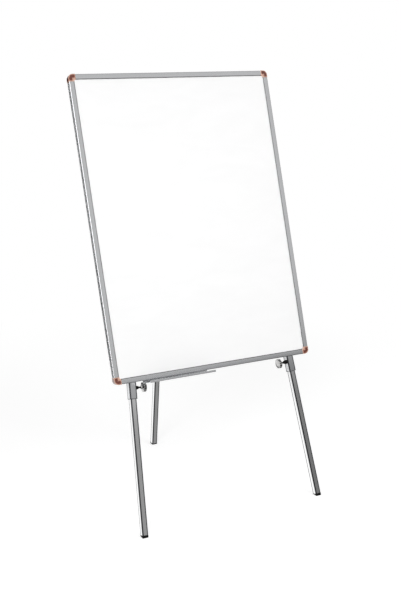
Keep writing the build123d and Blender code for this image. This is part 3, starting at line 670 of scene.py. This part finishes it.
def tube_finish(name, tones, face):
    """Anodised tube with a painted shade line at each corner, face mm apart, which darkens its rounded
    corners.

    The line is 4 mm wide and fades out 3 mm farther on.
    """
    made, tree, shader, tone, way_round = anodised(name, "tube_aluminium", tones, (0.10, 0.18))
    half_arc = 0.00125
    past = node(tree, "Math", {"operation": "SUBTRACT", 1: half_arc}, {0: way_round})
    corner = node(tree, "Math", {"operation": "PINGPONG", 1: face / 2 * MM}, {0: past})
    # Painted shade: the tube's corners are darkened towards 4c4d50.
    clear = node(tree, "MapRange", {**SMOOTH, 1: 0.0020, 2: 0.0050}, {0: corner})
    corner_shaded = node(tree, "Mix", {"data_type": "RGBA", 6: colour("4c4d50")}, {0: clear, 7: tone})
    tree.links.new(corner_shaded.outputs[2], shader.inputs["Base Color"])
    return made


# Painted shade: the outer tubes take darker tones than the inner tubes, a shaded copy of the same anodised
# aluminium.
shaded_outer_aluminium = tube_finish("shaded_satin_anodised_outer_tube", ("cfd0d3", "e1e2e3"), 24.3)
inner_aluminium = tube_finish("satin_anodised_inner_tube", ("eeeff0", "fafafa"), 19.3)
leg_splay = radians(3.9)
leg_spread = 297.5
outer_size = 25.0
inner_size = 20.0
tube_wall = 1.2
tube_corner = 1.6
tube_depth = rail_size + outer_size / 2
sides = {"left": -1, "right": 1}


def leg_plane(side, along=0.0):
    """A local frame square across a front leg, its second axis to the back and its third up the tube."""
    right = across * cos(leg_splay) + up * side * sin(leg_splay)
    up_tube = up * cos(leg_splay) - across * side * sin(leg_splay)
    middle = on_board(side * leg_spread, 0, -tube_depth) + up_tube * along
    return plane_at(middle, right, -out)


def square(size, corner, inset=0.0, steps=6):
    """A square outline with rounded corners about the local origin."""
    half = size / 2
    return outline(rectangle(-half, -half, half, half), corner, inset, steps)


def square_hole(size, corner, inset=0.0, steps=6):
    """The same outline the other way round, as a hole."""
    half = size / 2
    return outline(rectangle(-half, -half, half, half)[::-1], corner, inset, steps)


def square_tube(size, low, high, plane):
    """A square tube with its cut ends just broken by a 0.2 mm chamfer."""
    rows = [(low, 0.2), (low + 0.2, 0.0), (high - 0.2, 0.0), (high, 0.2)]
    bore = size - 2 * tube_wall
    shapes = [
        lambda inset: square(size, tube_corner, inset),
        lambda inset: square_hole(bore, tube_corner - tube_wall, inset),
    ]
    return bar(shapes, rows, plane)


outer_low = -52.5
outer_high = 997.5 / cos(leg_splay)
for side_name, side in sides.items():
    make_piece(
        f"{side_name}_upper_leg_tube",
        [square_tube(outer_size, outer_low, outer_high, leg_plane(side))], shaded_outer_aluminium, "board",
        f"{side_name}_outer_tube",
    )

# Rear leg: the same two tubes, hung from a pin behind the board's top and leaning back 7 degrees.
# Its outer tube's heel rests on the hinge bracket, which stops it.
hinge_height = 929.0
pin_depth = 62.5
leg_opening = radians(26.25)
rear_lean = leg_opening - board_lean
rear_back = np.array((0.0, cos(rear_lean), sin(rear_lean)))
pin_place = on_board(0, hinge_height, -pin_depth)
rear_leg_plane = plane_at(pin_place, across, rear_back)
rear_low = -990.0
rear_high = 11.137
make_piece(
    "rear_upper_leg_tube", [square_tube(outer_size, rear_low, rear_high, rear_leg_plane)],
    shaded_outer_aluminium, "rear_leg", "rear_outer_tube",
)

# Caps and bushes: black plastic mouldings in the outer tubes' ends. A cap closes each top; a bush with
# a thin flange guides the inner tube at each lower end.
black_plastic, tree, shader = new_finish("moulded_black_plastic", "black_plastic", IOR=1.46)
# Black polyamide from a sparked mould: a fine even grain, charcoal rather than black, and half matt.
spark = pattern(tree, 2600.0)
cover(tree, shader, spark, ("161718", "26272a"), (0.42, 0.62))
raise_by(tree, shader, spark, 0.4, 0.00008)

cap_thickness = 1.5
plug_size = 22.4
plug_corner = 0.4
bush_way = 20.3
bush_length = 22.0


def square_stack(layers, plane, ends="flat"):
    """Square rings of (size, corner radius, height), one above another."""
    return skin([lift(square(size, corner), height) for size, corner, height in layers], plane, ends)


def tube_cap(end, depth, plane):
    """A plug with a rounded flange that covers the tube's end."""
    layers = [(plug_size - 1.2, 0.3, end - depth), (plug_size, plug_corner, end - depth + 0.6)]
    layers += [(plug_size, plug_corner, end), (outer_size, tube_corner, end)]
    layers += [(outer_size, tube_corner, end + 0.7), (outer_size - 0.25, tube_corner, end + 1.1)]
    layers += [(outer_size - 0.8, tube_corner, end + 1.4), (outer_size - 1.6, 1.4, end + cap_thickness)]
    return square_stack(layers, plane)


def tube_bush(end, plane):
    """A flange under the tube's end and a thin sleeve inside it, round the inner tube's way."""
    low = end - cap_thickness
    layers = [(outer_size - 0.9, tube_corner, low), (outer_size - 0.2, tube_corner, low + 0.15)]
    layers += [(outer_size, tube_corner, low + 0.5), (outer_size, tube_corner, end)]
    layers += [(plug_size, plug_corner, end), (plug_size, plug_corner, end + bush_length)]
    layers += [(bush_way, tube_corner, end + bush_length), (bush_way, tube_corner, low + 0.3)]
    layers += [(bush_way + 0.4, tube_corner, low)]
    return square_stack(layers, plane, "joined")


tube_ends = {
    "left": (leg_plane(-1), outer_low, outer_high, 14.0, "board"),
    "right": (leg_plane(1), outer_low, outer_high, 14.0, "board"),
    "rear": (rear_leg_plane, rear_low, rear_high, rear_high - 4.8, "rear_leg"),
}
for leg, (plane, low, high, plug_depth, body) in tube_ends.items():
    make_piece(
        f"{leg}_end_cap", [tube_cap(high, plug_depth, plane)], black_plastic, body, f"{leg}_tube_cap"
    )
    make_piece(f"{leg}_guide_bush", [tube_bush(low, plane)], black_plastic, body, f"{leg}_bush")

# Saddles: 12 mm straps of 2 mm zinc-plated steel, bent round the outer tubes and screwed to the backs
# of the top and bottom rails, two to each front leg.
saddle_half = 6.0
strap_thickness = 2.0
strap_in = 12.6
strap_out = strap_in + strap_thickness
ear_end = 30.6
ear_back = -outer_size / 2
ear_face = ear_back + strap_thickness
ear_screw = 22.5
saddle_corners = [
    (-ear_end, ear_back), (-strap_in, ear_back), (-strap_in, strap_in), (strap_in, strap_in),
    (strap_in, ear_back), (ear_end, ear_back), (ear_end, ear_face), (strap_out, ear_face),
    (strap_out, strap_out), (-strap_out, strap_out), (-strap_out, ear_face), (-ear_end, ear_face),
]  # fmt: skip
saddle_radii = [0.4, 1.6, 1.6, 1.6, 1.6, 0.4, 0.4, 0.6, 3.6, 3.6, 0.6, 0.4]
saddle_heights = {"lower": chamber_middle, "upper": board_height - chamber_middle}
saddle_rows = [(-saddle_half, 0.25), (0.25 - saddle_half, 0), (saddle_half - 0.25, 0), (saddle_half, 0.25)]
saddle_screw_spots = []
for side_name, side in sides.items():
    for level, upwards in saddle_heights.items():
        strap_plane = leg_plane(side, upwards / cos(leg_splay))
        strap_section = [lambda inset: outline(saddle_corners, saddle_radii, inset, 7)]
        strap = bar(strap_section, saddle_rows, strap_plane)
        make_piece(
            f"{side_name}_{level}_leg_strap", [strap], zinc_plate, "board",
            f"{side_name}_{level}_saddle",
        )
        leg_across = side * (leg_spread - upwards * tan(leg_splay))
        saddle_screw_spots += [(leg_across - ear_screw, upwards), (leg_across + ear_screw, upwards)]
strap_back = rail_size + strap_thickness
make_piece(
    "saddle_pan_head_screws",
    [pan_head_screw(facing_back(*spot, strap_back), 7.0, 2.2, 3.9, 8.0) for spot in saddle_screw_spots],
    zinc_plate, "board", "saddle_screws",
)

# Crossbar: a length of the 25 mm tube between the two outer tubes near their tops. A steel plate laps
# each joint and is held by four blind rivets.
rivet_aluminium, tree, shader = new_finish("drawn_rivet_aluminium", "rivet_aluminium", Metallic=1.0)
# Rivets are headed from drawn wire: bright, with a fine mottle about 1 mm across.
cover(tree, shader, pattern(tree, 900.0, 3.0), ("bfc1c4", "dcdde0"), (0.22, 0.4))

crossbar_half = 220.386
plate_middle = 210.167
tube_at_crossbar = 234.167
bar_rivets = 194.167
plate_back = 45.0
plate_thickness = 2.0
plate_grip = 4.7
half_pitch = 5.5
bar_plane = plane_at(on_board(0, hinge_height, -tube_depth), up, out)
make_piece(
    "rear_crossbar_tube", [square_tube(outer_size, -crossbar_half, crossbar_half, bar_plane)],
    shaded_outer_aluminium, "board", "crossbar",
)


def steel_plate(corners, corner, thickness, plane):
    """A punched plate: one face's edge is rolled over by the punch and the other is just broken."""
    rows = [(0, 0.15), (0.15, 0), (thickness - 0.6, 0), (thickness - 0.2, 0.12), (thickness, 0.45)]
    return bar([lambda inset: outline(corners, corner, inset, 7)], rows, plane)


def blind_rivet(plane, grip):
    """A domed rivet head of 7.5 mm with the broken mandrel sunk in its middle."""
    dome = [(3.75, 0.0), (3.72, 0.3), (3.4, 0.72), (2.8, 1.1), (2.05, 1.35), (1.45, 1.4), (1.3, 1.3)]
    mandrel = [(1.25, 0.7), (1.02, 0.66), (0.98, 0.84), (0.7, 0.92)]
    return turned([(1.6, -grip), (2.0, 0.5 - grip), (2.0, 0.0), *dome, *mandrel], plane)


joining_rivets = []
for side_name, side in sides.items():
    plate_plane = facing_back(side * plate_middle, hinge_height, plate_back - plate_thickness)
    make_piece(
        f"{side_name}_crossbar_plate",
        [steel_plate(rectangle(-32, -10, 32, 10), 3.0, plate_thickness, plate_plane)], zinc_plate,
        "board", f"{side_name}_joining_plate",
    )
    for rise in (-half_pitch, half_pitch):
        on_tube = side * (tube_at_crossbar - rise * tan(leg_splay))
        on_bar = side * (bar_rivets + rise)
        for spot in ((on_tube, hinge_height + rise), (on_bar, hinge_height)):
            joining_rivets.append(blind_rivet(facing_back(*spot, plate_back), plate_grip))
make_piece("crossbar_blind_rivets", joining_rivets, rivet_aluminium, "board", "joining_rivets")

# Rear hinge: a zinc-plated bracket of 2.5 mm steel, a base riveted to the crossbar with two ears welded
# on, and an 8 mm bolt with washers and a nut, on which the rear leg folds.
bracket_thickness = 2.5
ear_inside = 13.7
ear_radius = 11.0
pin_standoff = 17.0
bracket_base = 43.0
hinge_axis = np.cross(across, -out)
base_plane = facing_back(0, hinge_height, bracket_base)
ear_corners = rectangle(-pin_standoff, -ear_radius, ear_radius, ear_radius)
ear_radii = [0.3, ear_radius - 0.05, ear_radius - 0.05, 0.3]
ear_rows = [(0, 0.2), (0.2, 0), (bracket_thickness - 0.2, 0), (bracket_thickness, 0.2)]
bracket_blocks = [steel_plate(rectangle(-37, -18, 37, 18), 4.0, bracket_thickness, base_plane)]
bracket_grip = 5.2
weld_bead = 1.6
weld_half = 10.6
ripple = 2.0
for side in sides.values():
    low = ear_inside if side > 0 else -ear_inside - bracket_thickness
    face = plane_at(pin_place + across * low, -out, hinge_axis)
    bracket_blocks.append(bar([lambda inset: outline(ear_corners, ear_radii, inset, 14)], ear_rows, face))
    # The weld lies along the ear's outer side as a bead with ripples, thinner at both its ends.
    along = np.linspace(-weld_half, weld_half, 70)
    arc = np.linspace(0, tau, 14, endpoint=False)
    ends = np.clip((weld_half + 0.3 - abs(along)) / 1.4, 0.2, 1)
    size = weld_bead * (1 + 0.1 * np.cos(tau * along / ripple)) * ends
    outer_face = side * (ear_inside + bracket_thickness)
    bead_across = outer_face + size[:, None] * np.cos(arc) * 0.9
    bead_deep = size[:, None] * np.sin(arc) * 0.9
    rings = np.stack((bead_across, bead_deep, np.broadcast_to(along[:, None], bead_across.shape)), 2)
    bead_plane = plane_at(on_board(0, hinge_height, -bracket_base - bracket_thickness), across, out)
    bracket_blocks.append(skin(rings, bead_plane))
make_piece("rear_hinge_bracket", bracket_blocks, zinc_plate, "board", "hinge_bracket")
bracket_back = bracket_base + bracket_thickness
bracket_rivets = [
    blind_rivet(facing_back(x, hinge_height + y, bracket_back), bracket_grip)
    for x in (-26.0, 26.0)
    for y in (-6.0, 6.0)
]
make_piece("bracket_blind_rivets", bracket_rivets, rivet_aluminium, "board", "bracket_rivets")


def hexagon_rings(rows, flats):
    """Six-sided rings, each cut off by a circle: the radius is the smaller of the two at every angle."""
    angle = np.linspace(0, tau, 72, endpoint=False)
    side = flats / 2 / np.cos((angle + pi / 6) % (pi / 3) - pi / 6)
    rings = []
    for height, limit in rows:
        rings.append(polar(np.minimum(side, limit), angle, height))
    return rings


def thread(low, high, diameter, pitch, depth, steps=28):
    """Profile rows of a screw thread: the radius falls by depth as a triangle wave of height and turn."""
    height = np.arange(low, high, pitch / 7)[:, None]
    angle = np.linspace(0, tau, steps, endpoint=False)
    phase = (height / pitch - angle / tau) % 1.0
    fade = np.clip(np.minimum(height - low, high - height) / (pitch * 0.8), 0, 1)
    radius = diameter / 2 - depth * (fade * abs(2 * phase - 1) + 1 - fade)
    return polar(radius, angle, height)


bolt_plane = plane_at(pin_place, -out, hinge_axis)
ear_outside = ear_inside + bracket_thickness
bolt_radius = 4.0
bolt_low = -ear_outside - 5.5
thread_end = 26.1
head_rows = [(bolt_low, 6.1), (bolt_low + 0.25, 6.5), (bolt_low + 0.75, 7.3)]
head_rows += [(bolt_low + 5.1, 7.5), (-ear_outside, 7.35)]
across_flats = 13.0
bolt_head = hexagon_rings(head_rows, across_flats)
bolt_angle = np.linspace(0, tau, 72, endpoint=False)
shank_ring = polar(bolt_radius, bolt_angle, 0.0)
bolt_rings = bolt_head + [shank_ring + (0, 0, -ear_outside), shank_ring + (0, 0, ear_outside - 1)]
thread_rings = thread(ear_outside - 1, thread_end, 2 * bolt_radius, 1.25, 0.35, 72)
tip_ring = shank_ring * (0.8, 0.8, 1) + (0, 0, thread_end + 0.6)
make_piece(
    "hinge_hexagon_bolt", [skin(np.concatenate((bolt_rings, thread_rings, [tip_ring])), bolt_plane)],
    zinc_plate, "board", "hinge_bolt",
)
nut_rows = [(ear_outside, 7.2), (ear_outside + 0.3, 7.5), (ear_outside + 7.2, 7.5)]
nut_rows += [(ear_outside + 7.7, 6.9), (ear_outside + 8, 6.3)]
nut_rings = hexagon_rings(nut_rows, across_flats)
bore_ring = shank_ring * (1.02, 1.02, 1)
nut_rings += [bore_ring * (1.12, 1.12, 1) + (0, 0, ear_outside + 8)]
nut_rings += [bore_ring + (0, 0, ear_outside + 7.5)]
nut_rings += [bore_ring + (0, 0, ear_outside + 0.4), bore_ring * (1.1, 1.1, 1) + (0, 0, ear_outside)]
make_piece("hinge_lock_nut", [skin(nut_rings, bolt_plane, "joined")], zinc_plate, "board", "hinge_nut")
washer_in, washer_out = 12.6, 13.6
washer_bore, washer_edge = 4.1, 8.0
broken = 0.2
washers = []
for low, high in ((-washer_out, -washer_in), (washer_in, washer_out)):
    section = [(washer_edge - broken, low), (washer_edge, low + broken)]
    section += [(washer_edge, high - broken), (washer_edge - broken, high)]
    section += [(washer_bore + broken, high), (washer_bore, high - broken)]
    section += [(washer_bore, low + broken), (washer_bore + broken, low)]
    washers.append(turned(section, bolt_plane, "joined"))
make_piece("hinge_washer_pair", washers, zinc_plate, "board", "hinge_washers")

# Inner tubes and feet: 20 mm tube that slides in the outer tubes, with a black rubber foot pushed into
# each lower end and cut level with the floor. Plugs inside guide the upper ends.
foot_rubber, tree, shader = new_finish("moulded_black_rubber", "foot_rubber", Specular_IOR_Level=0.15)
# Filled rubber is dull charcoal with a fine grain; floor dust greys its lowest 5 mm.
place = node(tree, "TexCoord")
grain = pattern(tree, 1500.0, 3.0)
plain = cover(tree, shader, grain, ("101010", "1c1c1b"), (0.62, 0.86))
height = node(tree, "SeparateXYZ", links={0: place.outputs["Object"]})
dust_and_shade = node(tree, "MapRange", {1: 0.0, 2: 0.005, 3: 0.4, 4: 0.0}, {0: height.outputs["Z"]})
tone = node(tree, "Mix", {"data_type": "RGBA", 7: colour("2b2a28")}, {0: dust_and_shade, 6: plain.outputs[2]})
tree.links.new(tone.outputs[2], shader.inputs["Base Color"])
raise_by(tree, shader, grain, 0.4, 0.0001)

inner_length = 900.0
foot_thickness = 5.5
foot_size = 20.6
stem_size = 17.4
front_floor = -498.92
rear_floor = -1346.48


def rubber_foot(floor_along, plane):
    """A stem in the tube and a sole under it, whose last rings lie level at 0.8 mm and at the floor."""
    low = floor_along + foot_thickness
    layers = [(foot_size - 2.0, 1.0, 0.0), (foot_size, tube_corner, 0.8), (foot_size, tube_corner, 2.2)]
    layers += [(foot_size, tube_corner, low - 1.3), (foot_size - 0.9, tube_corner, low - 1.1)]
    layers += [(foot_size - 0.9, tube_corner, low - 0.8), (foot_size, tube_corner, low - 0.6)]
    layers += [(foot_size, tube_corner, low - 0.2), (foot_size - 0.4, tube_corner, low)]
    layers += [(stem_size, 0.4, low), (stem_size, 0.4, low + 13.4), (stem_size - 1.2, 0.2, low + 14)]
    points, faces, run = square_stack(layers, plane)
    axis = plane[1][2]
    for row, level in enumerate((0.0, 0.8)):
        ring = slice(row * 24, row * 24 + 24)
        points[ring] += axis * ((level - points[ring, 2]) / axis[2])[:, None]
    ring = slice(48, 72)
    points[ring] = (points[24:48] + points[72:96]) / 2
    return points, faces, run


for leg, (plane, floor_along, body) in {
    "left": (leg_plane(-1), front_floor, "left_leg"),
    "right": (leg_plane(1), front_floor, "right_leg"),
    "rear": (rear_leg_plane, rear_floor, "rear_leg_lower"),
}.items():
    inner_low = floor_along + foot_thickness
    make_piece(
        f"{leg}_lower_leg_tube", [square_tube(inner_size, inner_low, inner_low + inner_length, plane)],
        inner_aluminium, body, f"{leg}_inner_tube",
    )
    make_piece(
        f"{leg}_rubber_foot", [rubber_foot(floor_along, plane)], foot_rubber, body, f"{leg}_foot"
    )
    refinish(f"{leg}_slide_plug", black_plastic)

# Clamp screws: a blackened steel boss on each outer tube's side, a blackened 6 mm stud in it and a
# plated thumb knob. A small nylon pad inside presses on the inner tube.
blackened, tree, shader = new_finish("blackened_steel", "blackened_steel", Metallic=1.0)
# Oil-blackened steel: near black with a satin gloss, and thin brown-grey patches about 3 mm across.
cover(tree, shader, pattern(tree, 330.0, 4.0), ("1c1c1e", "3c3a39"), (0.28, 0.5))

nickel, tree, shader = new_finish("nickel_plated_zinc_casting", "plated_zinc", Metallic=1.0)
# A barrelled zinc casting under bright nickel: a slightly warm mirror, uneven over 4 mm, with a light
# haze in patches from handling.
uneven = pattern(tree, 250.0)
cover(tree, shader, uneven, ("b9b9ba", "d2d1cf"), (0.07, 0.18), (0.35, 0.7))
raise_by(tree, shader, uneven, 0.3, 0.0001)

nylon, tree, shader = new_finish("white_nylon", IOR=1.53, Subsurface_Weight=0.1)
# Turned nylon rod: ivory, waxy, with a faint mottle.
cover(tree, shader, pattern(tree, 600.0), ("e2dfd4", "efece2"), (0.4, 0.55))

knob_radius = 17.0
knob_profile = np.array(
    [
        (3.05, 29.0), (3.05, 19.2), (3.4, 19.0), (6.2, 19.0), (6.5, 19.3), (6.7, 20.4), (7.6, 21.8),
        (9.4, 22.9), (12.0, 23.8), (14.4, 24.5), (15.5, 24.8), (16.3, 25.3), (16.85, 26.1),
        (knob_radius, 27.0), (knob_radius, 32.2), (16.85, 33.3), (16.3, 34.3), (15.3, 34.9), (14.2, 35.0),
        (13.1, 34.9), (12.2, 34.4), (11.3, 33.8), (9.5, 33.5), (5.0, 33.4), (0.3, 33.4),
    ]
)  # fmt: skip
scallop_count = 8
scallop_radius = 5.0
scallop_depth = 1.6
scallop_middle = knob_radius + scallop_radius - scallop_depth


def scalloped(profile, plane):
    """A turned knob whose radius is also kept inside finger scallops, rounded where they meet it.

    A scallop is a circle outside the rim. Seen from the axis at some angle, its near side lies at the
    distance of its middle times the angle's cosine, less the root of its radius squared less the
    square of that distance times the sine. The two limits blend as a soft minimum over 0.3 mm.
    """
    angle = np.linspace(0, tau, 160, endpoint=False)
    off = (angle + pi / scallop_count) % (tau / scallop_count) - pi / scallop_count
    inside = scallop_radius**2 - (scallop_middle * np.sin(off)) ** 2
    near = scallop_middle * np.cos(off) - np.sqrt(np.clip(inside, 0, None))
    limit = np.where(inside > 0, near, 30.0)
    blend = 0.3
    radius = profile[:, :1]
    soft = -blend * np.logaddexp(-radius / blend, -limit / blend)
    radius = np.where(radius > 10, soft, radius)
    return skin(polar(radius, angle, profile[:, 1:]), plane)


clamp_above_end = 34.0
clamp_planes = {}
for leg, plane, tube_end, inward, body in (
    ("left", leg_plane(-1), outer_low, 1, "board"),
    ("right", leg_plane(1), outer_low, -1, "board"),
    ("rear", rear_leg_plane, rear_low, 1, "rear_leg"),
):
    origin, axes3 = plane
    pointing = axes3[0] * inward
    place_on_tube = origin + axes3[2] * (tube_end + clamp_above_end) + pointing * outer_size / 2
    clamp_planes[leg] = (plane_at(place_on_tube, axes3[2], np.cross(pointing, axes3[2])), body)

boss_profile = [
    (3.05, 0), (7.0, 0), (7.0, 2.3), (6.85, 2.75), (4.95, 10.2), (4.75, 10.7), (4.35, 11.0), (3.05, 11.0),
]  # fmt: skip
for leg, (plane, body) in clamp_planes.items():
    make_piece(
        f"{leg}_screw_boss", [turned(boss_profile, plane, "joined", 56)], blackened, body,
        f"{leg}_clamp_boss",
    )
    stud_rings = thread(-0.2, 28.9, 6.0, 1.0, 0.45)
    make_piece(
        f"{leg}_threaded_stud", [skin(stud_rings, plane)], blackened, f"{leg}_screw",
        f"{leg}_clamp_stud",
    )
    make_piece(
        f"{leg}_thumb_knob", [scalloped(knob_profile, plane)], nickel, f"{leg}_screw",
        f"{leg}_clamp_knob",
    )
    refinish(f"{leg}_clamp_pad", nylon)

# Pen tray: a short aluminium extrusion with a low front lip. Its hanger has a T head that slides in the
# bottom rail's groove, and three shallow grooves along its floor keep pens from rolling.
tray_aluminium = frame_finish("satin_anodised_tray_aluminium", -1.0)
tray_middle = -149.0
tray_half = 117.0
tray_corners = [
    (-10.5, -8), (58, -8), (58, -1), (56.4, -1), (56.4, -6.4),
    (47, -6.4), (46.5, -6.9), (44.5, -6.9), (44, -6.4),
    (34, -6.4), (33.5, -6.9), (31.5, -6.9), (31, -6.4),
    (21, -6.4), (20.5, -6.9), (18.5, -6.9), (18, -6.4),
    (-7.5, -6.4), (-7.5, 1.75), (-2.35, 1.75), (-2.35, 3.65), (-15.65, 3.65), (-15.65, 1.75), (-10.5, 1.75),
]  # fmt: skip
tray_radii = [0.5, 0.72, 0.7, 0.7, 0.8]
tray_radii += [0.15] * 12
tray_radii += [0.6, 0.2, 0.2, 0.3, 0.3, 0.2, 0.2]
tray_plane = plane_at(on_board(tray_middle, 0, 0), out, up)
tray_rows = [(-tray_half, 0.25), (0.25 - tray_half, 0.0), (tray_half - 0.25, 0.0), (tray_half, 0.25)]
make_piece(
    "pen_tray_extrusion",
    [bar([lambda inset: outline(tray_corners, tray_radii, inset)], tray_rows, tray_plane)],
    tray_aluminium, "tray", "pen_tray",
)

bpy.context.view_layer.update()
